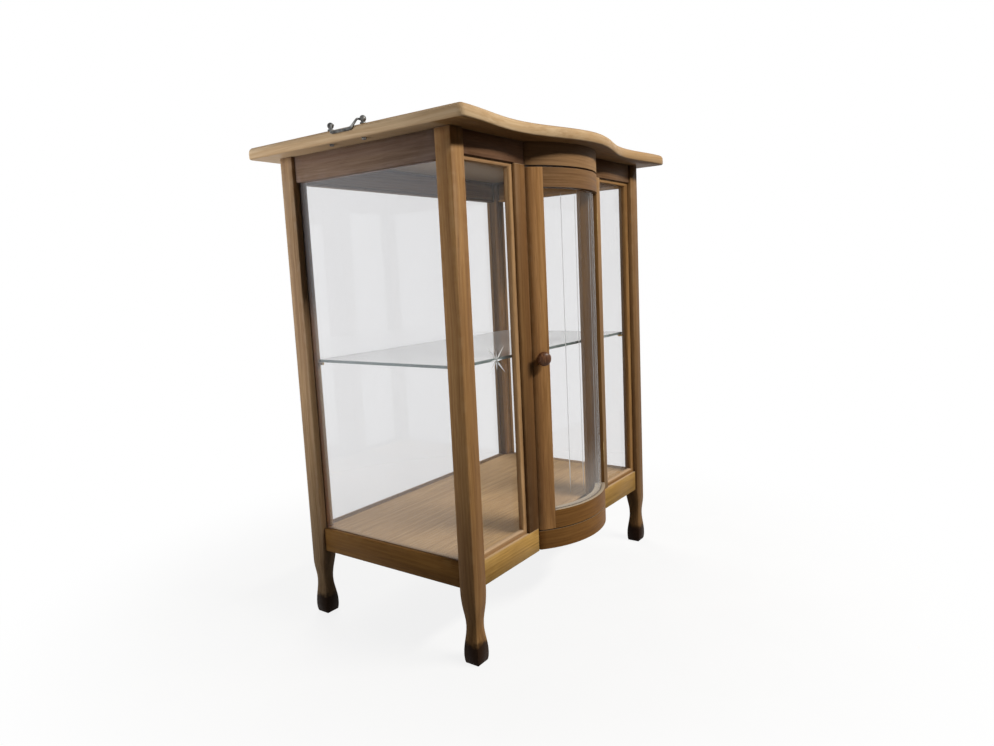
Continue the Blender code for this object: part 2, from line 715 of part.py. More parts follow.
# Glass shelf on four studs
def build_shelf(legs):
    half_x = X_INNER - SHELF_GAP
    front, back = Y_LEG_FRONT + SHELF_GAP, Y_LEG_BACK - SHELF_GAP
    low = (-half_x, front, SHELF_HEIGHT)
    high = (half_x, back, SHELF_HEIGHT + SHELF_THICKNESS)
    add_part("glass_shelf", box_mesh("glass_shelf", low, high), "clear_glass")
    stud_x = (X_LEG + X_INNER) / 2
    stud_z = SHELF_HEIGHT - CLEARANCE - STUD_RADIUS
    for depth_name, face, inward in (("front", Y_LEG_FRONT, 1), ("rear", Y_LEG_BACK, -1)):
        for side, sign in (("left", -1), ("right", 1)):
            name = f"{depth_name}_{side}_shelf_stud"
            sunk = (sign * stud_x, face - inward * STUD_DEPTH, stud_z)
            free = (sign * stud_x, face + inward * (STUD_LENGTH - STUD_DEPTH), stud_z)
            add_part(name, rod_mesh(name, STUD_RADIUS, sunk, free, 12), "brass")
            deep = (sunk[0], sunk[1] - inward * CLEARANCE, stud_z)
            hole = rod_mesh(f"{name}_hole", STUD_RADIUS + CLEARANCE, deep, free, 12)
            boolean(legs[f"{depth_name}_{side}"], add_cutter(f"{name}_hole", hole))


# Bow door
def stile_outline(sign):
    """Plan of a stile: bowed outside, flat behind, with a radial face towards the glass."""
    outer = bow_arc(BOW_RADIUS, STILE_ANGLE, DOOR_EDGE_ANGLE)
    deep = bow_point(BOW_RADIUS - STILE_DEPTH, STILE_ANGLE)
    back = Y_INNER_FRONT - CLEARANCE
    outline = outer + [(DOOR_HALF, back), (deep[0] + (back - deep[1]), back), deep]
    return [(sign * x, y) for x, y in outline]


def build_door(hinge):
    stiles = {}
    for side, sign in (("left", -1), ("right", 1)):
        name = f"door_{side}_stile"
        mesh = prism_mesh(name, [stile_outline(sign)], DOOR_LOW, DOOR_HIGH)
        stiles[side] = add_part(name, mesh, "oak", hinge)
    rails = {}
    rail_angle = STILE_ANGLE - CLEARANCE / BOW_INNER
    tenon_inner = BOW_RADIUS - (BOW_THICKNESS + TENON_THICKNESS) / 2
    for level, low, high, shoulders in (
        ("bottom", DOOR_LOW, DOOR_SIGHT_LOW, (TENON_SHOULDER, TENON_SHOULDER + REBATE)),
        ("top", DOOR_SIGHT_HIGH, DOOR_HIGH, (TENON_SHOULDER + REBATE, TENON_SHOULDER)),
    ):
        name = f"door_{level}_rail"
        mesh = sector_mesh(name, BOW_INNER, BOW_RADIUS, -rail_angle, rail_angle, low, high)
        rails[level] = add_part(name, mesh, "oak", hinge)
        for grow, label in ((0.0, f"{name}_tenon"), (CLEARANCE, f"{name}_mortise")):
            reach = STILE_ANGLE + (TENON_LENGTH + grow) / BOW_RADIUS
            inner, outer = tenon_inner - grow, tenon_inner + TENON_THICKNESS + grow
            foot, head = low + shoulders[0] - grow, high - shoulders[1] + grow
            block = add_cutter(label, sector_mesh(label, inner, outer, -reach, reach, foot, head))
            if grow == 0.0:
                boolean(rails[level], block, "UNION")
            else:
                boolean(stiles["left"], block)
                boolean(stiles["right"], block)
    glaze_door([*stiles.values(), *rails.values()], hinge)
    return stiles


def glaze_door(members, hinge):
    reach = STILE_ANGLE + REBATE / BOW_RADIUS
    spare = CLEARANCE / BOW_INNER
    low, high = DOOR_SIGHT_LOW - REBATE, DOOR_SIGHT_HIGH + REBATE
    outer = BOW_RADIUS - DOOR_LIP
    rebate = sector_mesh(
        "door_rebate", BOW_INNER - CLEARANCE, outer + CLEARANCE, -reach, reach, low, high
    )
    cutter = add_cutter("door_rebate", rebate)
    for member in members:
        boolean(member, cutter)
    reach -= spare
    low, high = low + CLEARANCE, high - CLEARANCE
    glass = sector_mesh("door_glass", outer - GLASS, outer, -reach, reach, low, high)
    add_part("door_glass", glass, "clear_glass", hinge)
    bead_outer = outer - GLASS - CLEARANCE
    bead = sector_mesh("door_bead", BOW_INNER, bead_outer, -reach, reach, low, high)
    bead_part = add_part("door_bead", bead, "oak", hinge)
    window = sector_mesh(
        "door_bead_window", BOW_INNER - OVERCUT, bead_outer + OVERCUT, -STILE_ANGLE, STILE_ANGLE,
        DOOR_SIGHT_LOW, DOOR_SIGHT_HIGH,
    )
    boolean(bead_part, add_cutter("door_bead_window", window))


def knob_profile():
    """Radius and height of the turned knob above the door's face, from its crown down to its peg."""
    head_middle = KNOB_NECK_LENGTH + KNOB_HEAD_LENGTH / 2
    points = []
    steps = 10
    for i in range(steps + 1):
        turn = math.pi * (0.5 - 0.86 * i / steps)
        radius = KNOB_RADIUS * math.cos(turn) if i else 0.0
        points.append((radius, head_middle + KNOB_HEAD_LENGTH / 2 * math.sin(turn)))
    flare = KNOB_NECK_RADIUS * 1.35
    points += [
        (KNOB_NECK_RADIUS, KNOB_NECK_LENGTH * 0.75),
        (KNOB_NECK_RADIUS, KNOB_NECK_LENGTH * 0.45),
        (flare, KNOB_NECK_LENGTH * 0.2),
        (flare, CLEARANCE),
        (KNOB_PEG_RADIUS, CLEARANCE),
        (KNOB_PEG_RADIUS, -KNOB_PEG_LENGTH),
        (0.0, -KNOB_PEG_LENGTH),
    ]
    return points


def build_knob(stile, hinge):
    x, y = bow_point(BOW_RADIUS, KNOB_ANGLE)
    outward = Vector((math.sin(KNOB_ANGLE), -math.cos(KNOB_ANGLE), 0.0))
    seat = Vector((x, y, KNOB_HEIGHT))
    knob = turned_part("door_knob", knob_profile(), 24, "dark_wood", hinge)
    knob.location = seat
    knob.rotation_euler = outward.to_track_quat("Z", "Y").to_euler()
    deep = seat - outward * (KNOB_PEG_LENGTH + CLEARANCE)
    hole = rod_mesh("door_knob_hole", KNOB_PEG_RADIUS + CLEARANCE, deep, seat + outward * OVERCUT, 24)
    boolean(stile, add_cutter("door_knob_hole", hole))


# Butt hinges on the right post
def build_hinge(label, centre, stile, post, hinge):
    low, high = centre - HINGE_HEIGHT / 2, centre + HINGE_HEIGHT / 2
    third = HINGE_HEIGHT / 3
    leaf_start = HINGE_Y + BARREL_RADIUS + CLEARANCE
    leaf_end = HINGE_Y + LEAF_WIDTH
    owners = {
        "post": (OPENING_HALF, OPENING_HALF + LEAF_THICKNESS, ((low, low + third), (high - third, high))),
        "door": (DOOR_HALF - LEAF_THICKNESS, DOOR_HALF, ((low + third, high - third),)),
    }
    bore = rod_mesh(
        f"{label}_bore", PIN_RADIUS + CLEARANCE,
        (HINGE_X, HINGE_Y, low - OVERCUT), (HINGE_X, HINGE_Y, high + OVERCUT),
    )
    bore_cutter = add_cutter(f"{label}_bore", bore)
    for owner, (x_low, x_high, knuckles) in owners.items():
        name = f"{label}_{owner}_leaf"
        plate = box_mesh(name, (x_low, leaf_start, low), (x_high, leaf_end, high))
        leaf = add_part(name, plate, "brass", hinge if owner == "door" else None)
        for number, (foot, head) in enumerate(knuckles):
            foot += CLEARANCE if owner == "door" else 0.0
            head -= CLEARANCE if owner == "door" else 0.0
            link = f"{name}_link_{number}"
            block = box_mesh(link, (x_low, HINGE_Y, foot), (x_high, leaf_start + OVERCUT, head))
            boolean(leaf, add_cutter(link, block), "UNION")
            barrel = f"{name}_barrel_{number}"
            rod = rod_mesh(barrel, BARREL_RADIUS, (HINGE_X, HINGE_Y, foot), (HINGE_X, HINGE_Y, head))
            boolean(leaf, add_cutter(barrel, rod), "UNION")
        boolean(leaf, bore_cutter)
        wood = stile if owner == "door" else post
        sunk = f"{name}_recess"
        recess_low = x_low - (CLEARANCE if owner == "door" else OVERCUT)
        recess_high = x_high + (CLEARANCE if owner == "post" else OVERCUT)
        recess = box_mesh(
            sunk,
            (recess_low, HINGE_Y, low - CLEARANCE),
            (recess_high, leaf_end + CLEARANCE, high + CLEARANCE),
        )
        boolean(wood, add_cutter(sunk, recess))
    head_low = high + CLEARANCE
    pin_profile = [
        (0.0, head_low + PIN_HEAD), (PIN_HEAD_RADIUS, head_low + PIN_HEAD / 2), (PIN_HEAD_RADIUS, head_low),
        (PIN_RADIUS, head_low), (PIN_RADIUS, low), (0.0, low),
    ]
    pin = turned_part(f"{label}_pin", pin_profile, 16, "brass")
    pin.location = (HINGE_X, HINGE_Y, 0.0)


# Drop handle
def rounded_path(corners, radii, steps=5):
    """Points along straight runs joined by arcs, one radius for each inner corner."""
    path = [Vector(corners[0])]
    for before, corner, after, radius in zip(corners, corners[1:], corners[2:], radii):
        corner = Vector(corner)
        arrive = (corner - Vector(before)).normalized()
        leave = (Vector(after) - corner).normalized()
        bend = arrive.angle(leave)
        run = radius * math.tan(bend / 2)
        side = (leave - arrive * arrive.dot(leave)).normalized()
        centre = corner - arrive * run + side * radius
        for i in range(steps + 1):
            turn = bend * i / steps
            path.append(centre - side * radius * math.cos(turn) + arrive * radius * math.sin(turn))
    path.append(Vector(corners[-1]))
    return path


def build_handle(top, pivot):
    bolt_low = TOP_UNDERSIDE - NUT_HEIGHT - 2 * CLEARANCE
    base = TOP_SURFACE + CLEARANCE
    profile = []
    steps = 8
    for i in range(steps):
        turn = math.pi * (0.5 - 0.78 * i / (steps - 1))
        radius = PILLAR_HEAD_RADIUS * math.cos(turn) if i else 0.0
        profile.append((radius, HANDLE_Z + PILLAR_HEAD_RADIUS * math.sin(turn)))
    profile += [
        (PILLAR_STEM_RADIUS, base + PILLAR_BASE_HEIGHT),
        (PILLAR_BASE_RADIUS * 0.8, base + PILLAR_BASE_HEIGHT),
        (PILLAR_BASE_RADIUS, base + PILLAR_BASE_HEIGHT / 2),
        (PILLAR_BASE_RADIUS, base),
        (STUD_BOLT_RADIUS, base),
        (STUD_BOLT_RADIUS, bolt_low),
        (0.0, bolt_low),
    ]
    for place, sign in (("front", -1), ("rear", 1)):
        y = HANDLE_Y + sign * HANDLE_SPACING / 2
        pillar = turned_part(f"handle_{place}_pillar", profile, 20, "iron")
        pillar.location = (HANDLE_X, y, 0.0)
        bore = f"handle_{place}_bore"
        inner = (HANDLE_X, y - sign * (PILLAR_HEAD_RADIUS + OVERCUT), HANDLE_Z)
        outer = (HANDLE_X, y + sign * (BAIL_PIN_RADIUS + 2 * CLEARANCE), HANDLE_Z)
        boolean(pillar, add_cutter(bore, rod_mesh(bore, BAIL_PIN_RADIUS + CLEARANCE, inner, outer)))
        hole = f"handle_{place}_bolt_hole"
        deep = (HANDLE_X, y, TOP_UNDERSIDE - OVERCUT)
        high = (HANDLE_X, y, TOP_SURFACE + OVERCUT)
        boolean(top, add_cutter(hole, rod_mesh(hole, STUD_BOLT_RADIUS + CLEARANCE, deep, high)))
        nut = f"handle_{place}_nut"
        nut_top = TOP_UNDERSIDE - CLEARANCE
        hexagon = rod_mesh(
            nut, NUT_RADIUS, (HANDLE_X, y, nut_top - NUT_HEIGHT), (HANDLE_X, y, nut_top), 6
        )
        nut_part = add_part(nut, hexagon, "iron")
        thread = f"{nut}_thread"
        low = (HANDLE_X, y, nut_top - NUT_HEIGHT - OVERCUT)
        boolean(nut_part, add_cutter(thread, rod_mesh(thread, STUD_BOLT_RADIUS + CLEARANCE, low, high)))
    build_bail(pivot)


def build_bail(pivot):
    """The bail at rest: its arms run out over the rim of the top and its bar hangs beside the edge."""
    pin_end = HANDLE_SPACING / 2 + BAIL_PIN_RADIUS
    elbow = HANDLE_SPACING / 2 - PILLAR_HEAD_RADIUS - BAIL_ELBOW - CLEARANCE
    half = [
        (pin_end, 0.0, 0.0), (elbow, 0.0, 0.0), (elbow, BAIL_ARM, BAIL_RISE),
        (elbow - BAIL_NARROWING, BAIL_OUT, -BAIL_DROP),
    ]
    corners = half + [(-along, out, rise) for along, out, rise in reversed(half)]
    radii = (BAIL_ELBOW, BAIL_SHOULDER, BAIL_CORNER, BAIL_CORNER, BAIL_SHOULDER, BAIL_ELBOW)
    path = rounded_path(corners, radii)
    places = [(HANDLE_X - out, HANDLE_Y + along, HANDLE_Z + rise) for along, out, rise in path]
    obj = curve_object("handle_bail", [places], "3D", False)
    obj.data.bevel_depth = BAIL_PIN_RADIUS
    obj.data.bevel_resolution = 3
    obj.data.use_fill_caps = True
    for point, (along, out, rise) in zip(obj.data.splines[0].points, path):
        share = math.hypot(out, rise) / math.hypot(BAIL_OUT, BAIL_DROP)
        point.radius = 1.0 + (BAIL_BAR_RADIUS / BAIL_PIN_RADIUS - 1.0) * share**2
    bpy.context.view_layer.update()
    add_part("handle_bail", baked_mesh(obj), "iron", pivot)


def centre_on_origin():
    """Put the middle of the whole width at x = 0, because the bail stands out past the left edge."""
    for obj in (*parts.objects, *cutters.objects):
        if obj.parent is None:
            obj.location.x += BAIL_OVERHANG / 2


def main():
    reset_scene()
    legs = build_legs()
    rails = build_rails(legs)
    posts = build_posts(rails)
    build_glazing(legs, rails, posts)
    build_bow_members()
    build_floor()
    build_door_stop()
    top = build_top()
    build_shelf(legs)
    door_hinge = add_empty("door_hinge_axis", (HINGE_X, HINGE_Y, 0.0))
    stiles = build_door(door_hinge)
    build_knob(stiles["left"], door_hinge)
    for label, centre in (
        ("lower_hinge", DOOR_LOW + HINGE_LOW_INSET), ("upper_hinge", DOOR_HIGH - HINGE_HIGH_INSET)
    ):
        build_hinge(label, centre, stiles["right"], posts["right"], door_hinge)
    handle_pivot = add_empty("handle_pivot_axis", (HANDLE_X, HANDLE_Y, HANDLE_Z))
    build_handle(top, handle_pivot)
    centre_on_origin()


main()
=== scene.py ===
import math

import bmesh
import bpy
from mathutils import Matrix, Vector


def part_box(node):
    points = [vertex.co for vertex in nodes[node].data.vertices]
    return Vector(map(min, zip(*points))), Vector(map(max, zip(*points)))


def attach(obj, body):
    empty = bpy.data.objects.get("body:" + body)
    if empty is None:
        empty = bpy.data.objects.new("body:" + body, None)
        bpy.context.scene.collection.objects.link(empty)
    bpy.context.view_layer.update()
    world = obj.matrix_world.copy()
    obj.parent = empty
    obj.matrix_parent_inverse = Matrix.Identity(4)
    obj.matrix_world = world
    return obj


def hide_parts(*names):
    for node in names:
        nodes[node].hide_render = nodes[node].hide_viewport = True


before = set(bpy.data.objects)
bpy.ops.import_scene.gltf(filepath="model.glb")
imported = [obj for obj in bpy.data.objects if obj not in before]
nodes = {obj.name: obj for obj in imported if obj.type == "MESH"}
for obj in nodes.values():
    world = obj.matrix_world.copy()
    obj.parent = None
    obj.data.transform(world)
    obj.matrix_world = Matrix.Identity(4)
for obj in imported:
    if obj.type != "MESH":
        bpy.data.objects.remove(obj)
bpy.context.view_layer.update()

# The photograph's frame and its camera, placed from the foot of the carcass's front
PHOTO_WIDTH = 994
PHOTO_HEIGHT = 746
FOCAL_PIXELS = 706.83
VIEW_CENTRE = (511.50, 365.14)
CAMERA_PLACE = Vector((-1.35464, -0.79795, 0.74220))
CAMERA_DEGREES = (82.5466, 2.5324, -55.1226)
SENSOR_WIDTH = 36.0

# Light, where 1 is the level at which a colour renders as it is written
AMBIENT_LEVEL = 0.06
AMBIENT_COLOUR = (0.94, 0.97, 1.0, 1.0)
LAMPS = {
    "key": {
        "level": 1.12, "colour": (1.0, 0.96, 0.89), "size": (2.2, 0.36), "spread": 180, "mirrored": True,
        "distance": 3.2, "rise": 31, "turn": 10,
    },
    "side": {
        "level": 0.95, "colour": (0.94, 0.95, 1.0), "size": (0.9, 0.9), "spread": 72, "mirrored": False,
        "distance": 1.6, "rise": -14, "turn": -115,
    },
    "rear": {
        "level": 0.60, "colour": (1.0, 0.98, 0.95), "size": (2.2, 2.2), "spread": 180, "mirrored": False,
        "distance": 3.2, "rise": 34, "turn": 145,
    },
}
LAMP_TARGET_SHARE = 0.95
WHITE = (1.0, 1.0, 1.0, 1.0)

# Floor
FLOOR_RADIUS = 6.0
FLOOR_SEGMENTS = 96
FLOOR_PALE = 0.86
FLOOR_CLOUD = 0.02
FLOOR_CLOUD_SCALE = 9.0
FLOOR_CLOUD_RANGE = (0.3, 0.7)
FLOOR_BOUNCE = 0.07
FLOOR_GLOW = 0.86
FLOOR_FADE = (0.5, 1.2)

# Bow of the door
BOW_RADIUS = 0.2021

# Cut decoration in the glass
LINE_ANGLES = [math.radians(degrees) for degrees in (-21.0, -9.0, 9.0, 21.0)]
LINE_WIDTH = 0.0024
LINE_DEPTH = 0.0010
LINE_MARGINS = (0.020, 0.004)
LINE_WIDEST = (0.03, 0.97)
STAR_OFFSET_X = -0.2412
STAR_HEIGHT = 0.5722
STAR_ARMS = 8
STAR_ARM_LENGTHS = (0.026, 0.048)
STAR_ARM_WIDTH = 0.0046
STAR_ARM_WIDEST = (0.25,)
STAR_CROSSING = 0.0015
STAR_DEPTH = 0.0012
CUT_PROUD = 0.0004

# Hinge screws, placed by shares of the leaf's height and of its depth from the front of its barrel
SCREW_RADIUS = 0.0024
SCREW_HEIGHT = 0.00035
SCREW_SLOT = 0.0007
SCREW_DISC_SHARE = 0.4
SCREW_MOON_SHARE = 0.96
SCREW_STEPS = 20
SCREW_PLACES = ((0.16, 0.62), (0.5, 0.86), (0.84, 0.62))
SCREW_TURN = 9
PLATE_FROM = 0.6

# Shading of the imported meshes
WELD_DISTANCE = 0.00001
SMOOTH_ANGLE = math.radians(50)

carcass_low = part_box("front_left_leg")[0]
carcass_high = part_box("rear_right_leg")[1]
middle_x = (carcass_low.x + carcass_high.x) / 2
bow_centre = Vector((middle_x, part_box("bow_apron")[0].y + BOW_RADIUS, 0.0))


# Objects and meshes
def add_object(name, data):
    obj = bpy.data.objects.new(name, data)
    bpy.context.scene.collection.objects.link(obj)
    return obj


def mesh_from(bm, name):
    mesh = bpy.data.meshes.new(name)
    bm.to_mesh(mesh)
    bm.free()
    return mesh


# Node trees
class Tree:
    """Short calls that build a shader node tree and return the sockets it goes on from."""

    def __init__(self, owner):
        owner.use_nodes = True
        self.tree = owner.node_tree
        self.tree.nodes.clear()

    def add(self, kind, inputs=None, **settings):
        node = self.tree.nodes.new("ShaderNode" + kind)
        for name, value in settings.items():
            setattr(node, name, value)
        for key, value in (inputs or {}).items():
            self.put(node.inputs[key], value)
        return node

    def put(self, socket, value):
        if isinstance(value, bpy.types.NodeSocket):
            self.tree.links.new(value, socket)
        else:
            socket.default_value = value

    def math(self, operation, *values, clamp=False):
        return self.add("Math", dict(enumerate(values)), operation=operation, use_clamp=clamp).outputs[0]

    def vector(self, operation, *values):
        return self.add("VectorMath", dict(enumerate(values)), operation=operation).outputs[0]

    def length(self, vector):
        return self.add("VectorMath", {0: vector}, operation="LENGTH").outputs["Value"]

    def dot(self, first, second):
        return self.add("VectorMath", {0: first, 1: second}, operation="DOT_PRODUCT").outputs["Value"]

    def split(self, vector):
        return self.add("SeparateXYZ", {0: vector}).outputs

    def join(self, x, y, z):
        return self.add("CombineXYZ", {0: x, 1: y, 2: z}).outputs[0]

    def place(self):
        return self.add("TexCoord").outputs["Object"]

    def normal(self):
        return self.add("NewGeometry").outputs["True Normal"]

    def noise(self, vector, scale, detail=2.0, roughness=0.5, colour=False):
        inputs = {"Vector": vector, "Scale": scale, "Detail": detail, "Roughness": roughness}
        return self.add("TexNoise", inputs).outputs["Color" if colour else "Fac"]

    def span(self, value, low, high, to_low=0.0, to_high=1.0):
        """A value carried from one range to another, smoothly and without running past its ends."""
        inputs = {"Value": value, "From Min": low, "From Max": high, "To Min": to_low, "To Max": to_high}
        return self.add("MapRange", inputs, interpolation_type="SMOOTHSTEP").outputs["Result"]

    def mix(self, share, first, second, blend="MIX"):
        node = self.add("Mix", data_type="RGBA", blend_type=blend, clamp_factor=True)
        for name, value in (("Factor_Float", share), ("A_Color", first), ("B_Color", second)):
            socket = next(item for item in node.inputs if item.identifier == name)
            self.put(socket, value)
        return next(item for item in node.outputs if item.identifier == "Result_Color")

    def ramp(self, value, stops):
        node = self.add("ValToRGB", {"Fac": value})
        elements = node.color_ramp.elements
        while len(elements) < len(stops):
            elements.new(0.5)
        for element, (place, colour) in zip(elements, stops):
            element.position = place
            element.color = colour
        return node.outputs["Color"]

    def bump(self, height, strength, distance):
        inputs = {"Height": height, "Strength": strength, "Distance": distance}
        return self.add("Bump", inputs).outputs["Normal"]

    def edge_angle(self, radius):
        """The cosine between a face and its rounded self: 1 on a flat, less along an edge."""
        rounded = self.add("Bevel", {"Radius": radius}, samples=4).outputs[0]
        return self.dot(rounded, self.normal())

    def open_air(self, distance):
        return self.add("AmbientOcclusion", {"Distance": distance}, samples=4).outputs["AO"]

    def finish(self, shader):
        self.add("OutputMaterial", {"Surface": shader})


def new_tree(name):
    material = bpy.data.materials.new(name)
    return material, Tree(material)


# Where the grain of a piece runs: each function gives coordinates whose z runs along the grain
END_FACING = 0.6


def straight_grain(axis):
    order = {"x": (1, 2, 0), "y": (2, 0, 1), "z": (0, 1, 2)}[axis]

    def place(tree):
        parts = tree.split(tree.place())
        return tree.join(*(parts[i] for i in order))

    return place


def bow_grain(tree):
    """Grain that follows the bow, for bent rails."""
    x, y, z = tree.split(tree.vector("SUBTRACT", tree.place(), bow_centre))
    angle = tree.math("ARCTAN2", x, tree.math("MULTIPLY", y, -1.0))
    radius = tree.length(tree.join(x, y, 0.0))
    return tree.join(radius, z, tree.math("MULTIPLY", angle, BOW_RADIUS))


def rim_grain(tree):
    """Grain along the board, turned to run along its left and right edges."""
    x, y, z = tree.split(tree.place())
    sideways = tree.split(tree.normal())[0]
    end = tree.math("GREATER_THAN", tree.math("ABSOLUTE", sideways), END_FACING)
    return tree.mix(end, tree.join(y, z, x), tree.join(z, x, y))


def framed_grain(node):
    """Grain that turns at the mitres of an upright frame."""
    low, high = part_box(node)
    centre = (low + high) / 2
    half = (high - low) / 2
    wide = 0 if half.x > half.y else 1

    def place(tree):
        parts = tree.split(tree.vector("SUBTRACT", tree.place(), centre))
        side = tree.math("SUBTRACT", half[wide], tree.math("ABSOLUTE", parts[wide]))
        end = tree.math("SUBTRACT", half.z, tree.math("ABSOLUTE", parts[2]))
        upright = tree.math("LESS_THAN", side, end)
        standing = tree.join(parts[wide], parts[1 - wide], parts[2])
        lying = tree.join(parts[2], parts[1 - wide], parts[wide])
        return tree.mix(upright, lying, standing)

    return place


def grain_of(name):
    if name in ("bow_frieze", "bow_apron", "door_top_rail", "door_bottom_rail"):
        return bow_grain
    if name == "top_board":
        return rim_grain
    if name.endswith(("_bead", "_moulding")):
        return framed_grain(name)
    low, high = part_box(name)
    size = high - low
    return straight_grain("xyz"[max(range(3), key=lambda i: size[i])])


# Colours of the wood, and the tone that each board multiplies them by: partly the board's own colour and
# partly painted light and shade, such as the dark top rails under the overhang, the dark left door post,
# and the bright front left moulding, bottom rails and rear left leg
OAK = {
    "dark": (0.235, 0.120, 0.042, 1.0),
    "mid": (0.335, 0.180, 0.066, 1.0),
    "light": (0.410, 0.232, 0.092, 1.0),
    "aged": (0.225, 0.115, 0.048, 1.0),
    "pore": (0.115, 0.055, 0.020, 1.0),
    "worn": (0.430, 0.265, 0.125, 1.0),
    "faded": (0.600, 0.425, 0.275, 1.0),
    "shade_and_grime": (0.030, 0.014, 0.007, 1.0),
}
PALE_OAK = {
    "dark": (0.470, 0.292, 0.136, 1.0),
    "mid": (0.620, 0.402, 0.202, 1.0),
    "light": (0.700, 0.478, 0.258, 1.0),
    "aged": (0.490, 0.305, 0.150, 1.0),
    "pore": (0.300, 0.170, 0.078, 1.0),
    "worn": (0.640, 0.460, 0.280, 1.0),
    "faded": (0.560, 0.375, 0.220, 1.0),
    "shade_and_grime": (0.150, 0.085, 0.045, 1.0),
}
PLAIN_TONE = (1.0, 1.0, 1.0)
BOARD_TONES_AND_SHADE = {
    "left_door_post": (0.58, 0.54, 0.52),
    "right_door_post": (0.92, 0.98, 1.15),
    "door_left_stile": (1.40, 1.36, 1.40),
    "door_right_stile": (0.58, 0.54, 0.45),
    "door_bead": (0.50, 0.46, 0.38),
    "door_top_rail": (0.62, 0.62, 0.74),
    "door_bottom_rail": (0.76, 0.67, 0.52),
    "bow_apron": (0.76, 0.67, 0.52),
    "bow_frieze": (0.88, 0.94, 1.12),
    "front_left_top_rail": (0.68, 0.68, 0.98),
    "front_right_top_rail": (0.60, 0.60, 0.76),
    "front_left_bottom_rail": (1.62, 1.78, 1.42),
    "front_right_bottom_rail": (1.50, 1.66, 1.32),
    "front_left_moulding": (1.45, 1.60, 2.00),
    "front_left_leg": (0.98, 0.98, 1.02),
    "front_right_leg": (0.66, 0.66, 0.68),
    "rear_left_leg": (1.16, 1.38, 1.95),
    "left_bottom_rail": (0.84, 0.75, 0.54),
    "left_top_rail": (0.54, 0.66, 1.20),
    "back_top_rail": (1.20, 1.30, 1.60),
    "back_bead": (0.60, 0.62, 0.66),
    "left_bead": (0.85, 0.62, 0.36),
}
BLEACHED_CREAM = (0.660, 0.560, 0.430, 1.0)
# Pale rim: faded wood, with painted light towards the left end
BLEACHED_LIT_RIM = (0.690, 0.510, 0.310, 1.0)
# Pale underside: raw wood, lightened further as painted bounce light
RAW_LIT_UNDERSIDE = (0.520, 0.370, 0.220, 1.0)
FOOT_STAIN = (0.013, 0.005, 0.003, 1.0)
CREAM_LEDGES = ("door_bottom_rail", "door_bead")
UNFADED = ("floor_board", "back_bead", "left_bottom_rail")

# Pattern of the wood: noise scales by the metre, and how far a pattern is drawn out along the grain
BOARD_STEP = Vector((0.371, 0.613, 1.137))
DRIFT_SCALE = 3.5
DRIFT_REACH = (0.012, 0.012, 0.0)
GRAIN_DRAW = (1.0, 1.0, 0.030)
PORE_DRAW = (1.0, 1.0, 0.016)
FIGURE_SCALE = 130.0
FIBRE_SCALE = 620.0
PORE_SCALE = 1500.0
BROAD_SCALE = 4.2
STREAK_SCALE = 34.0
PATCH_SCALE = 38.0
STAIN_SCALE = 60.0
STAIN_RAGGED = 0.020
PITH = (0.071, 0.043, 0.0)
RING_SPACING = 0.0055
RING_SWAY = 14.0
RING_SWAY_SCALE = 14.0
RING_SHARE = 0.045
FIBRE_RELIEF = 0.45
WOOD_RELIEF = (0.18, 0.0004)
WOOD_SPECULAR = 0.05
WEAR_RADIUS = 0.0022
# How far into the corners the painted shade and grime reach
SHADE_AND_GRIME_REACH = 0.022

# Ranges in the wood, as Tree.span takes them
BROAD_AGED = (0.40, 0.70, 0.0, 0.40)
STREAK_AGED = (0.46, 0.66, 0.0, 0.45)
FIBRE_TINT = (0.28, 0.72, 0.88, 1.08)
PORE_SHARE = (0.60, 0.72, 0.0, 0.40)
WORN_PATCHES = (0.40, 0.62)
WORN_EDGE = (0.985, 0.86, 0.0, 0.45)
LEDGE_FACING = (0.45, 0.90, 0.0, 0.85)
RIM_FACING = (0.97, 0.60)
RIM_STREAKS = (0.30, 0.70, 0.95, 0.40)
RIM_LEFT_LIGHT = (-0.40, 0.40, 1.0, 0.45)
RAW_LIT_FACING = (-0.80, -0.98)
RAW_LIT_BACK = (-0.215, -0.195, 0.0, 0.8)
SHADE_AND_GRIME_SHARE = (0.74, 0.28, 0.0, 0.62)
STAIN_HEIGHT = (0.058, 0.045, 0.0, 0.95)
WOOD_ROUGHNESS = (0.30, 0.95, 0.42, 0.62)


def bleach_ledges(tree, name, faded, colour, facing_up):
    """Faces that look up, bleached by the sun."""
    share = tree.span(facing_up, *LEDGE_FACING)
    return tree.mix(share, colour, BLEACHED_CREAM if name in CREAM_LEDGES else faded)


def bleach_and_light_rim(tree, colour, facing_up, figure):
    """The rim of the top board, faded and lightened most at its left end as painted light, and the
    underside behind the front overhang, raw wood lightened further as painted bounce light.
    """
    share = tree.span(tree.math("ABSOLUTE", facing_up), *RIM_FACING)
    share = tree.math("MULTIPLY", share, tree.span(figure, *RIM_STREAKS))
    across, back, _ = tree.split(tree.place())
    # Painted light: the rim is lightened most at its left end
    share = tree.math("MULTIPLY", share, tree.span(across, *RIM_LEFT_LIGHT))
    colour = tree.mix(share, colour, BLEACHED_LIT_RIM)
    # Underside behind the front overhang: raw wood and painted bounce light; the shaded front overhang
    # is left dark
    raw_and_lit = tree.math("MULTIPLY", tree.span(facing_up, *RAW_LIT_FACING), tree.span(back, *RAW_LIT_BACK))
    return tree.mix(raw_and_lit, colour, RAW_LIT_UNDERSIDE)


def stain_foot(tree, colour, place):
    """The dark stain on a leg's foot, with a ragged upper edge."""
    height = tree.split(tree.place())[2]
    ragged = tree.math("MULTIPLY_ADD", tree.noise(place, STAIN_SCALE, 3.0), STAIN_RAGGED, height)
    return tree.mix(tree.span(ragged, *STAIN_HEIGHT), colour, FOOT_STAIN)


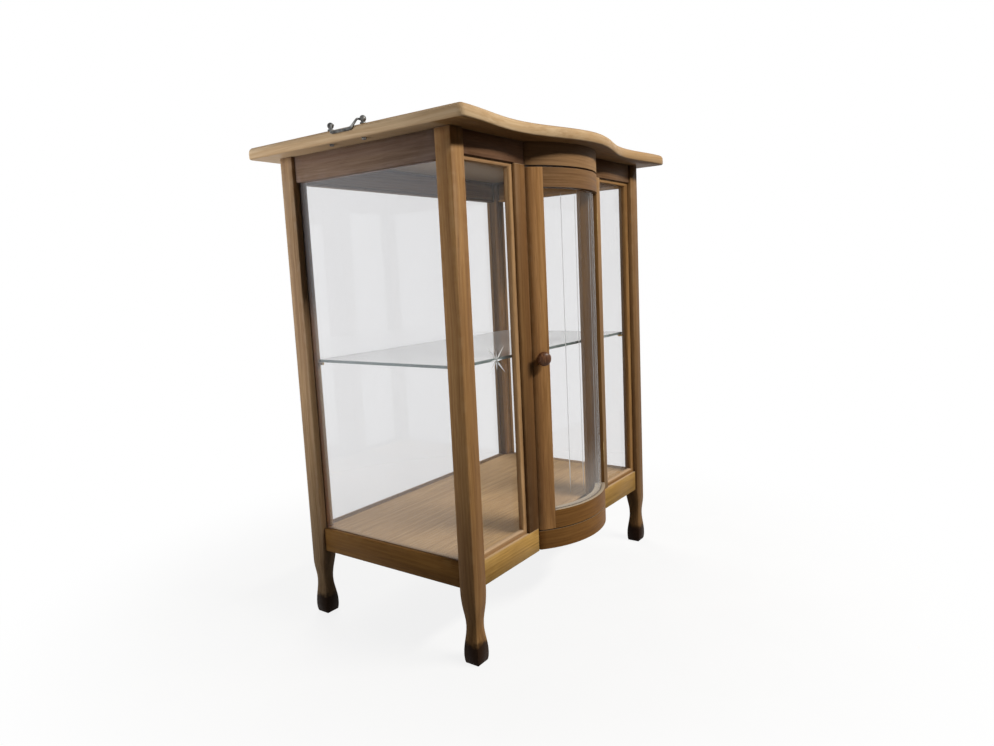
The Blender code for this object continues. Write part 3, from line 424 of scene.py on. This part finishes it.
def wood(name, board):
    """Oak with growth rings, fibres, pores, worn edges, faded ledges, and painted shade with grime in
    its corners; each board's tone also carries painted light and shade.
    """
    palette = PALE_OAK if name == "floor_board" else OAK
    # The tone takes in painted light and shade as well as the board's own colour
    tone_and_shade = (*BOARD_TONES_AND_SHADE.get(name, PLAIN_TONE), 1.0)
    toned_and_shaded = {key: tuple(c * t for c, t in zip(colour, tone_and_shade)) for key, colour in palette.items()}

    material, tree = new_tree(name)
    place = tree.vector("ADD", grain_of(name)(tree), BOARD_STEP * board)
    drift = tree.noise(place, DRIFT_SCALE, 1.0, colour=True)
    place = tree.vector("ADD", place, tree.vector("MULTIPLY", drift, DRIFT_REACH))
    drawn = tree.vector("MULTIPLY", place, GRAIN_DRAW)
    figure = tree.noise(drawn, FIGURE_SCALE, 4.0, 0.60)
    fibre = tree.noise(drawn, FIBRE_SCALE, 3.0, 0.6)
    pores = tree.noise(tree.vector("MULTIPLY", place, PORE_DRAW), PORE_SCALE, 1.0)
    broad = tree.noise(place, BROAD_SCALE, 2.0)
    streaks = tree.noise(drawn, STREAK_SCALE, 2.0)
    pith = tree.vector("ADD", tree.vector("MULTIPLY", drawn, (1.0, 1.0, 0.0)), PITH)
    turns = tree.math("MULTIPLY", tree.length(pith), math.tau / RING_SPACING)
    sway = tree.math("MULTIPLY", tree.noise(drawn, RING_SWAY_SCALE, 2.0), RING_SWAY)
    rings = tree.math("SINE", tree.math("ADD", turns, sway))
    rings = tree.math("MULTIPLY_ADD", rings, RING_SHARE, figure)

    colour = tree.ramp(rings, ((0.30, toned_and_shaded["dark"]), (0.50, toned_and_shaded["mid"]), (0.70, toned_and_shaded["light"])))
    colour = tree.mix(tree.span(broad, *BROAD_AGED), colour, toned_and_shaded["aged"])
    colour = tree.mix(tree.span(streaks, *STREAK_AGED), colour, toned_and_shaded["aged"])
    tint = tree.span(fibre, *FIBRE_TINT)
    colour = tree.mix(1.0, colour, tree.join(tint, tint, tint), "MULTIPLY")
    pore_share = tree.span(pores, *PORE_SHARE)
    colour = tree.mix(pore_share, colour, toned_and_shaded["pore"])

    facing_up = tree.split(tree.normal())[2]
    if name == "top_board":
        colour = bleach_and_light_rim(tree, colour, facing_up, figure)
    elif name not in UNFADED:
        colour = bleach_ledges(tree, name, palette["faded"], colour, facing_up)
    patches = tree.span(tree.noise(place, PATCH_SCALE, 3.0), *WORN_PATCHES)
    edge = tree.span(tree.edge_angle(WEAR_RADIUS), *WORN_EDGE)
    colour = tree.mix(tree.math("MULTIPLY", edge, patches), colour, toned_and_shaded["worn"])
    # Darker in the corners: painted shade, with grime that also dulls the surface
    shade_and_grime = tree.span(tree.open_air(SHADE_AND_GRIME_REACH), *SHADE_AND_GRIME_SHARE)
    colour = tree.mix(shade_and_grime, colour, palette["shade_and_grime"])
    if name.endswith("_leg"):
        colour = stain_foot(tree, colour, place)

    relief = tree.math("MULTIPLY_ADD", fibre, FIBRE_RELIEF, rings)
    relief = tree.math("SUBTRACT", relief, pore_share)
    shader = tree.add("BsdfPrincipled", {
        "Base Color": colour,
        "Roughness": tree.span(tree.math("ADD", figure, shade_and_grime), *WOOD_ROUGHNESS),
        "Normal": tree.bump(relief, *WOOD_RELIEF),
        "Specular IOR Level": WOOD_SPECULAR,
    })
    tree.finish(shader.outputs[0])
    return material


# Turned knob
KNOB_COLOURS = (
    (0.30, (0.060, 0.021, 0.008, 1.0)),
    (0.52, (0.140, 0.056, 0.022, 1.0)),
    (0.72, (0.240, 0.110, 0.048, 1.0)),
)
KNOB_CLOUD = (0.078, 0.028, 0.011, 1.0)
KNOB_CLOUD_SHARE = (0.45, 0.7, 0.0, 0.6)
KNOB_CLOUD_SCALE = 130.0
KNOB_FIGURE_SCALE = 520.0
KNOB_DRAW = (1.0, 1.0, 0.12)
KNOB_TURNING = 5200.0
KNOB_TURNING_RELIEF = 0.25
KNOB_RELIEF = (0.12, 0.0003)
KNOB_ROUGHNESS = (0.3, 0.7, 0.26, 0.42)


def turned_wood(name):
    """Dark polished wood with rings that follow the turning."""
    centre = sum(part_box("door_knob"), Vector()) / 2
    axis = Vector((centre.x - bow_centre.x, centre.y - bow_centre.y, 0.0)).normalized()

    material, tree = new_tree(name)
    place = tree.vector("SUBTRACT", tree.place(), centre)
    turning = tree.math("SINE", tree.math("MULTIPLY", tree.dot(place, axis), KNOB_TURNING))
    figure = tree.noise(tree.vector("MULTIPLY", place, KNOB_DRAW), KNOB_FIGURE_SCALE, 3.0, 0.6)
    cloud = tree.noise(place, KNOB_CLOUD_SCALE, 2.0)
    colour = tree.mix(tree.span(cloud, *KNOB_CLOUD_SHARE), tree.ramp(figure, KNOB_COLOURS), KNOB_CLOUD)
    relief = tree.math("MULTIPLY_ADD", turning, KNOB_TURNING_RELIEF, figure)
    shader = tree.add("BsdfPrincipled", {
        "Base Color": colour,
        "Roughness": tree.span(cloud, *KNOB_ROUGHNESS),
        "Normal": tree.bump(relief, *KNOB_RELIEF),
        "Specular IOR Level": 0.15,
        "Coat Weight": 0.12,
        "Coat Roughness": 0.2,
    })
    tree.finish(shader.outputs[0])
    return material


# Glass: how much each kind of pane bends and mirrors, and how much of it dust covers
PANES = {
    "pane_glass": {"bending": 1.40, "gloss": 1.0, "film_share": 0.02},
    "dusty_glass": {"bending": 1.40, "gloss": 1.0, "film_share": 0.06},
    "front_glass": {"bending": 1.12, "gloss": 0.6, "film_share": 0.02},
    "bow_glass": {"bending": 1.05, "gloss": 0.6, "film_share": 0.02, "settled": 0.10},
}
PANE_KINDS = {
    "left_glass": "dusty_glass",
    "front_left_glass": "front_glass",
    "front_right_glass": "front_glass",
    "door_glass": "bow_glass",
}
PANE_CLEAR = (0.915, 0.915, 0.920, 1.0)
PANE_DULL = (0.880, 0.880, 0.885, 1.0)
PANE_SHADOW = (0.92, 0.92, 0.92, 1.0)
PANE_WAVES = (0.03, 0.003)
WAVE_SCALE = 6.0
FILM_SCALE = 3.0
DUST_HEIGHTS = (0.25, 0.38)

SHELF_CLEAR = (0.97, 0.98, 0.975, 1.0)
SHELF_SMEARED = (0.94, 0.955, 0.95, 1.0)
SHELF_RIM_DARK = (0.11, 0.17, 0.165, 1.0)
SHELF_RIM_LIGHT = (0.19, 0.25, 0.24, 1.0)
SHELF_SHADOW = (0.95, 0.97, 0.96, 1.0)
SHELF_WAVES = (0.02, 0.001)
SHELF_EDGE_FACING = (0.7, 0.3)
SHELF_EDGE_DULLING = -0.70
SHELF_ROUGHNESS = (0.35, 0.8, 0.0, 0.03)
SMEAR_SCALE = 22.0
RIM_CLOUD_SCALE = 45.0

GROUND_LIGHT = (0.72, 0.73, 0.73, 1.0)
GROUND_DARK = (0.56, 0.57, 0.57, 1.0)
GROUND_SHADOW = (0.85, 0.87, 0.87, 1.0)
GROUND_TINT = (0.35, 0.7)
GROUND_ROUGHNESS = (0.3, 0.7, 0.28, 0.5)
GROUND_RELIEF = (0.25, 0.0002)
SCRATCH_SCALE = 900.0
SCRATCH_DRAW = (1.0, 1.0, 3.0)


def let_lamps_through(tree, shader, tint):
    path = tree.add("LightPath")
    passing = tree.math("MAXIMUM", path.outputs["Is Shadow Ray"], path.outputs["Is Diffuse Ray"])
    clear = tree.add("BsdfTransparent", {"Color": tint})
    mixed = tree.add("MixShader", {0: passing, 1: shader, 2: clear.outputs[0]})
    tree.finish(mixed.outputs[0])


def pane_glass(name, bending, gloss, film_share, settled=0.0):
    """Old clear sheet: faintly wavy, with a thin film of dust that may have settled towards its foot."""
    material, tree = new_tree(name)
    place = tree.place()
    waves = tree.noise(place, WAVE_SCALE, 1.0)
    film = tree.noise(place, FILM_SCALE, 2.0)
    clear_share = 1.0 - film_share
    if settled:
        height = tree.split(place)[2]
        clear_share = tree.span(height, *DUST_HEIGHTS, clear_share - settled, clear_share)
    shader = tree.add("BsdfPrincipled", {
        "Base Color": tree.mix(film, PANE_CLEAR, PANE_DULL),
        "Roughness": 0.0,
        "Normal": tree.bump(waves, *PANE_WAVES),
        "Transmission Weight": clear_share,
        "IOR": bending,
        "Specular Tint": (gloss, gloss, gloss, 1.0),
    })
    let_lamps_through(tree, shader.outputs[0], PANE_SHADOW)
    return material


def shelf_glass(name):
    """Thick clear shelf with green polished edges."""
    material, tree = new_tree(name)
    place = tree.place()
    upright = tree.split(tree.normal())[2]
    edge = tree.span(tree.math("ABSOLUTE", upright), *SHELF_EDGE_FACING)
    waves = tree.noise(place, WAVE_SCALE, 1.0)
    smear = tree.noise(place, SMEAR_SCALE, 3.0, 0.6)
    clear = tree.mix(smear, SHELF_CLEAR, SHELF_SMEARED)
    rim = tree.mix(tree.noise(place, RIM_CLOUD_SCALE, 2.0), SHELF_RIM_DARK, SHELF_RIM_LIGHT)
    shader = tree.add("BsdfPrincipled", {
        "Base Color": tree.mix(edge, clear, rim),
        "Roughness": tree.span(smear, *SHELF_ROUGHNESS),
        "Normal": tree.bump(waves, *SHELF_WAVES),
        "Transmission Weight": tree.math("MULTIPLY_ADD", edge, SHELF_EDGE_DULLING, 1.0),
        "IOR": 1.5,
        "Sheen Weight": 0.6,
        "Sheen Roughness": 0.4,
    })
    let_lamps_through(tree, shader.outputs[0], SHELF_SHADOW)
    return material


def ground_glass(name):
    """Matt facets where the wheel has cut the pane."""
    material, tree = new_tree(name)
    drawn = tree.vector("MULTIPLY", tree.place(), SCRATCH_DRAW)
    scratches = tree.noise(drawn, SCRATCH_SCALE, 3.0, 0.7)
    shader = tree.add("BsdfPrincipled", {
        "Base Color": tree.mix(tree.span(scratches, *GROUND_TINT), GROUND_LIGHT, GROUND_DARK),
        "Roughness": tree.span(scratches, *GROUND_ROUGHNESS),
        "Normal": tree.bump(scratches, *GROUND_RELIEF),
        "Transmission Weight": 0.75,
        "IOR": 1.5,
    })
    let_lamps_through(tree, shader.outputs[0], GROUND_SHADOW)
    return material


# Metal
BRASS = {
    "dark": (0.16, 0.10, 0.035, 1.0),
    "mid": (0.42, 0.28, 0.10, 1.0),
    "bright": (0.70, 0.52, 0.23, 1.0),
    "roughness": (0.28, 0.5),
    "grit_scale": 700.0,
}
IRON = {
    "dark": (0.030, 0.029, 0.028, 1.0),
    "mid": (0.140, 0.138, 0.132, 1.0),
    "bright": (0.40, 0.40, 0.39, 1.0),
    "roughness": (0.34, 0.56),
    "grit_scale": 900.0,
}
METAL_CLOUD_SCALE = 90.0
METAL_EDGE_RADIUS = 0.0008
METAL_EDGE = (0.99, 0.86, 0.0, 0.7)
TARNISH_REACH = 0.006
TARNISH_SHARE = (0.7, 0.25, 0.0, 0.7)
GRIT_RANGE = (0.3, 0.7)
METAL_RELIEF = (0.18, 0.0003)


def metal(name, dark, mid, bright, roughness, grit_scale):
    """Cast or stamped metal: tarnish in the hollows, bright where hands rub it."""
    material, tree = new_tree(name)
    place = tree.place()
    cloud = tree.noise(place, METAL_CLOUD_SCALE, 4.0, 0.65)
    grit = tree.noise(place, grit_scale, 3.0, 0.6)
    colour = tree.ramp(cloud, ((0.32, dark), (0.52, mid), (0.74, bright)))
    edge = tree.span(tree.edge_angle(METAL_EDGE_RADIUS), *METAL_EDGE)
    colour = tree.mix(edge, colour, bright)
    colour = tree.mix(tree.span(tree.open_air(TARNISH_REACH), *TARNISH_SHARE), colour, dark)
    shader = tree.add("BsdfPrincipled", {
        "Base Color": colour,
        "Metallic": 1.0,
        "Roughness": tree.span(grit, *GRIT_RANGE, *roughness),
        "Normal": tree.bump(grit, *METAL_RELIEF),
    })
    tree.finish(shader.outputs[0])
    return material


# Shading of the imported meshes
def smooth_shading():
    """A modifier's node group that welds the split facets and shades them smooth up to an angle."""
    group = bpy.data.node_groups.new("smooth_shading", "GeometryNodeTree")
    group.interface.new_socket("Geometry", in_out="INPUT", socket_type="NodeSocketGeometry")
    group.interface.new_socket("Geometry", in_out="OUTPUT", socket_type="NodeSocketGeometry")
    add, link = group.nodes.new, group.links.new
    start, end = add("NodeGroupInput"), add("NodeGroupOutput")
    weld = add("GeometryNodeMergeByDistance")
    weld.inputs["Distance"].default_value = WELD_DISTANCE
    flat = add("GeometryNodeRemoveAttribute")
    flat.inputs["Name"].default_value = "custom_normal"
    smooth, sharp = add("GeometryNodeSetShadeSmooth"), add("GeometryNodeSetShadeSmooth")
    sharp.domain = "EDGE"
    sharp.inputs["Shade Smooth"].default_value = False
    angle = add("GeometryNodeInputMeshEdgeAngle")
    over = add("FunctionNodeCompare")
    over.operation = "GREATER_THAN"
    over.inputs["B"].default_value = SMOOTH_ANGLE
    link(start.outputs[0], weld.inputs["Geometry"])
    link(weld.outputs["Geometry"], flat.inputs["Geometry"])
    link(flat.outputs["Geometry"], smooth.inputs["Geometry"])
    link(smooth.outputs["Geometry"], sharp.inputs["Geometry"])
    link(angle.outputs["Unsigned Angle"], over.inputs["A"])
    link(over.outputs["Result"], sharp.inputs["Selection"])
    link(sharp.outputs["Geometry"], end.inputs[0])
    return group


def shade_smooth(obj, group):
    modifier = obj.modifiers.new("smooth_shading", "NODES")
    modifier.node_group = group


# Cut decoration
def groove_mesh(name, start, end, widest, out, width, depth):
    """A boat-shaped cutter: pointed at both ends, with a V section that is full at the widest places."""
    run = (end - start).normalized()
    across = run.cross(out).normalized()
    lift = out * CUT_PROUD
    spread = across * (width / 2) * (depth + CUT_PROUD) / depth
    sections = []
    for share in widest:
        middle = start.lerp(end, share)
        sections.append((middle + lift + spread, middle + lift - spread, middle - out * depth))
    bm = bmesh.new()
    tips = [bm.verts.new(start + lift), bm.verts.new(end + lift)]
    rows = [[bm.verts.new(place) for place in section] for section in sections]
    for i in range(3):
        j = (i + 1) % 3
        bm.faces.new((tips[0], rows[0][i], rows[0][j]))
        for first, second in zip(rows, rows[1:]):
            bm.faces.new((first[i], second[i], second[j], first[j]))
        bm.faces.new((tips[1], rows[-1][j], rows[-1][i]))
    bmesh.ops.recalc_face_normals(bm, faces=bm.faces)
    return mesh_from(bm, name)


def cut_pane(node, body, cutters, pane_material, cut_material, group):
    """Stand for a CAD pane with one that has the cutters ground out of its face."""
    pane = add_object(node + "_cut", nodes[node].data.copy())
    pane.data.materials.clear()
    pane.data.materials.append(pane_material)
    shade_smooth(pane, group)
    tools = []
    for mesh in cutters:
        mesh.materials.append(cut_material)
        tool = add_object(mesh.name, mesh)
        tools.append(tool)
        grind = pane.modifiers.new(mesh.name, "BOOLEAN")
        grind.operation = "DIFFERENCE"
        grind.solver = "EXACT"
        grind.material_mode = "TRANSFER"
        grind.object = tool
    evaluated = pane.evaluated_get(bpy.context.evaluated_depsgraph_get())
    finished = bpy.data.meshes.new_from_object(evaluated)
    pane.modifiers.clear()
    pane.data = finished
    for tool in tools:
        bpy.data.objects.remove(tool, do_unlink=True)
    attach(pane, body)
    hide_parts(node)


def star_cutters():
    """The arms of the star in the front left pane, long and short by turns."""
    face_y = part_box("front_left_glass")[0].y
    centre = Vector((middle_x + STAR_OFFSET_X, face_y, STAR_HEIGHT))
    out = Vector((0.0, -1.0, 0.0))
    cutters = []
    for arm in range(STAR_ARMS):
        angle = arm * math.tau / STAR_ARMS
        direction = Vector((math.cos(angle), 0.0, math.sin(angle)))
        start = centre - direction * STAR_CROSSING
        end = centre + direction * STAR_ARM_LENGTHS[arm % 2]
        cutters.append(
            groove_mesh(f"star_arm_{arm}", start, end, STAR_ARM_WIDEST, out, STAR_ARM_WIDTH, STAR_DEPTH)
        )
    return cutters


def line_cutters():
    """The upright lines in the door's glass."""
    sight_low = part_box("door_bottom_rail")[1].z
    sight_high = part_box("door_top_rail")[0].z
    radius = bow_centre.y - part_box("door_glass")[0].y
    cutters = []
    for number, angle in enumerate(LINE_ANGLES):
        out = Vector((math.sin(angle), -math.cos(angle), 0.0))
        face = bow_centre + out * radius
        start = Vector((face.x, face.y, sight_low + LINE_MARGINS[0]))
        end = Vector((face.x, face.y, sight_high - LINE_MARGINS[1]))
        cutters.append(
            groove_mesh(f"door_line_{number}", start, end, LINE_WIDEST, out, LINE_WIDTH, LINE_DEPTH)
        )
    return cutters


# Hinge screws
def add_screw(bm, centre, out, up):
    """A slotted countersunk head: a low disc that carries two half moons."""
    side = out.cross(up)

    def prism(outline, low, high):
        lower = [bm.verts.new(centre + side * u + up * v + out * low) for u, v in outline]
        upper = [bm.verts.new(centre + side * u + up * v + out * high) for u, v in outline]
        bm.faces.new(list(reversed(lower)))
        bm.faces.new(upper)
        for i in range(len(outline)):
            j = (i + 1) % len(outline)
            bm.faces.new((lower[i], lower[j], upper[j], upper[i]))

    disc_height = SCREW_HEIGHT * SCREW_DISC_SHARE
    circle = [math.tau * i / SCREW_STEPS for i in range(SCREW_STEPS)]
    prism([(SCREW_RADIUS * math.cos(a), SCREW_RADIUS * math.sin(a)) for a in circle], 0.0, disc_height)
    start = math.asin(SCREW_SLOT / 2 / SCREW_RADIUS)
    steps = SCREW_STEPS // 2
    radius = SCREW_RADIUS * SCREW_MOON_SHARE
    arc = [start + (math.pi - 2 * start) * i / steps for i in range(steps + 1)]
    for side_sign in (1.0, -1.0):
        moon = [(side_sign * radius * math.cos(a), side_sign * radius * math.sin(a)) for a in arc]
        prism(moon, disc_height, SCREW_HEIGHT)


def plate_face(leaf, out):
    """The x of a leaf's plate on the side that it shows, read behind its barrel."""
    low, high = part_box(leaf)
    behind = low.y + (high.y - low.y) * PLATE_FROM
    plate = [vertex.co.x for vertex in nodes[leaf].data.vertices if vertex.co.y > behind]
    return max(plate) if out.x > 0 else min(plate)


def add_screws(leaf, body, out, material):
    low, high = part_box(leaf)
    face_x = plate_face(leaf, out)
    bm = bmesh.new()
    for share, back in SCREW_PLACES:
        place = Vector((face_x, low.y + (high.y - low.y) * back, low.z + (high.z - low.z) * share))
        turn = share * SCREW_TURN
        add_screw(bm, place, out, Vector((0.0, math.cos(turn), math.sin(turn))))
    bmesh.ops.recalc_face_normals(bm, faces=bm.faces)
    mesh = mesh_from(bm, leaf + "_screws")
    screws = add_object(mesh.name, mesh)
    mesh.materials.append(material)
    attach(screws, body)


# Finishes for every node
def dress():
    smooth = smooth_shading()
    panes = {name: pane_glass(name, **settings) for name, settings in PANES.items()}
    shelf = shelf_glass("shelf_glass")
    ground = ground_glass("ground_glass")
    brass = metal("aged_brass", **BRASS)
    iron = metal("worn_iron", **IRON)
    knob = turned_wood("knob_wood")
    for board, (name, obj) in enumerate(sorted(nodes.items())):
        shade_smooth(obj, smooth)
        if name == "glass_shelf":
            material = shelf
        elif name.endswith("_glass"):
            material = panes[PANE_KINDS.get(name, "pane_glass")]
        elif "hinge" in name or name.endswith("_stud"):
            material = brass
        elif name.startswith("handle_"):
            material = iron
        elif name == "door_knob":
            material = knob
        else:
            material = wood(name, board)
        obj.data.materials.clear()
        obj.data.materials.append(material)
    cut_pane("front_left_glass", "cabinet", star_cutters(), panes["front_glass"], ground, smooth)
    cut_pane("door_glass", "door", line_cutters(), panes["bow_glass"], ground, smooth)
    for hinge in ("lower_hinge", "upper_hinge"):
        add_screws(f"{hinge}_post_leaf", "cabinet", Vector((-1.0, 0.0, 0.0)), brass)
        add_screws(f"{hinge}_door_leaf", "door", Vector((1.0, 0.0, 0.0)), brass)


# Floor, light and camera
def seen_directly(tree):
    """1 for rays from the camera, from a mirror or through glass, and 0 for those that carry light."""
    path = tree.add("LightPath").outputs
    seen = tree.math("ADD", path["Is Camera Ray"], path["Is Glossy Ray"])
    return tree.math("ADD", seen, path["Is Transmission Ray"], clamp=True)


def add_floor():
    bm = bmesh.new()
    bmesh.ops.create_circle(bm, cap_ends=True, segments=FLOOR_SEGMENTS, radius=FLOOR_RADIUS)
    floor = add_object("floor", mesh_from(bm, "floor"))
    material, tree = new_tree("pale_floor")
    away = tree.length(tree.vector("SUBTRACT", tree.place(), (middle_x, 0.0, 0.0)))
    fade = tree.span(away, *FLOOR_FADE, FLOOR_GLOW, 1.0)
    cloud = tree.noise(tree.place(), FLOOR_CLOUD_SCALE, 3.0)
    pale = tree.span(cloud, *FLOOR_CLOUD_RANGE, FLOOR_PALE - FLOOR_CLOUD, FLOOR_PALE + FLOOR_CLOUD)
    lit = tree.add("BsdfDiffuse", {"Color": tree.join(pale, pale, pale)})
    bounce = tree.add("BsdfDiffuse", {"Color": (FLOOR_BOUNCE, FLOOR_BOUNCE, FLOOR_BOUNCE, 1.0)})
    glow = tree.add("Emission", {"Color": WHITE, "Strength": 1.0})
    shown = tree.add("MixShader", {0: fade, 1: lit.outputs[0], 2: glow.outputs[0]})
    mixed = tree.add("MixShader", {0: seen_directly(tree), 1: bounce.outputs[0], 2: shown.outputs[0]})
    tree.finish(mixed.outputs[0])
    floor.data.materials.append(material)


def add_world():
    world = bpy.data.worlds.new("studio")
    bpy.context.scene.world = world
    tree = Tree(world)
    ambient = tree.add("Background", {"Color": AMBIENT_COLOUR, "Strength": AMBIENT_LEVEL})
    white = tree.add("Background", {"Color": WHITE, "Strength": 1.0})
    mixed = tree.add("MixShader", {0: seen_directly(tree), 1: ambient.outputs[0], 2: white.outputs[0]})
    tree.add("OutputWorld", {"Surface": mixed.outputs[0]})


def add_lamp(name, level, colour, size, spread, mirrored, distance, rise, turn):
    """A soft lamp that lights a facing surface at the given level."""
    data = bpy.data.lights.new(name, "AREA")
    data.color = colour
    data.shape = "ELLIPSE"
    data.size, data.size_y = size
    data.spread = math.radians(spread)
    data.energy = level * (math.pi * distance) ** 2
    if spread < 180:
        half = data.spread / 2
        data.energy *= 1.0 - half / math.tan(half)
    lamp = add_object(name, data)
    rise, turn = math.radians(rise), math.radians(turn)
    towards = Vector((math.sin(turn), -math.cos(turn), math.tan(rise))).normalized()
    target = Vector((middle_x, 0.0, carcass_high.z * LAMP_TARGET_SHARE))
    lamp.location = target + towards * distance
    lamp.rotation_euler = (-towards).to_track_quat("-Z", "Y").to_euler()
    lamp.visible_camera = False
    lamp.visible_glossy = mirrored
    lamp.visible_transmission = mirrored


def add_camera():
    data = bpy.data.cameras.new("camera")
    data.sensor_width = SENSOR_WIDTH
    data.lens = FOCAL_PIXELS / PHOTO_WIDTH * SENSOR_WIDTH
    data.shift_x = (PHOTO_WIDTH / 2 - VIEW_CENTRE[0]) / PHOTO_WIDTH
    data.shift_y = (VIEW_CENTRE[1] - PHOTO_HEIGHT / 2) / PHOTO_WIDTH
    camera = add_object("camera", data)
    camera.location = CAMERA_PLACE + Vector((middle_x, carcass_low.y, 0.0))
    camera.rotation_euler = [math.radians(degrees) for degrees in CAMERA_DEGREES]
    bpy.context.scene.camera = camera


dress()
add_floor()
add_world()
for lamp_name, lamp_settings in LAMPS.items():
    add_lamp(lamp_name, **lamp_settings)
add_camera()
bpy.context.scene.view_settings.view_transform = "Standard"
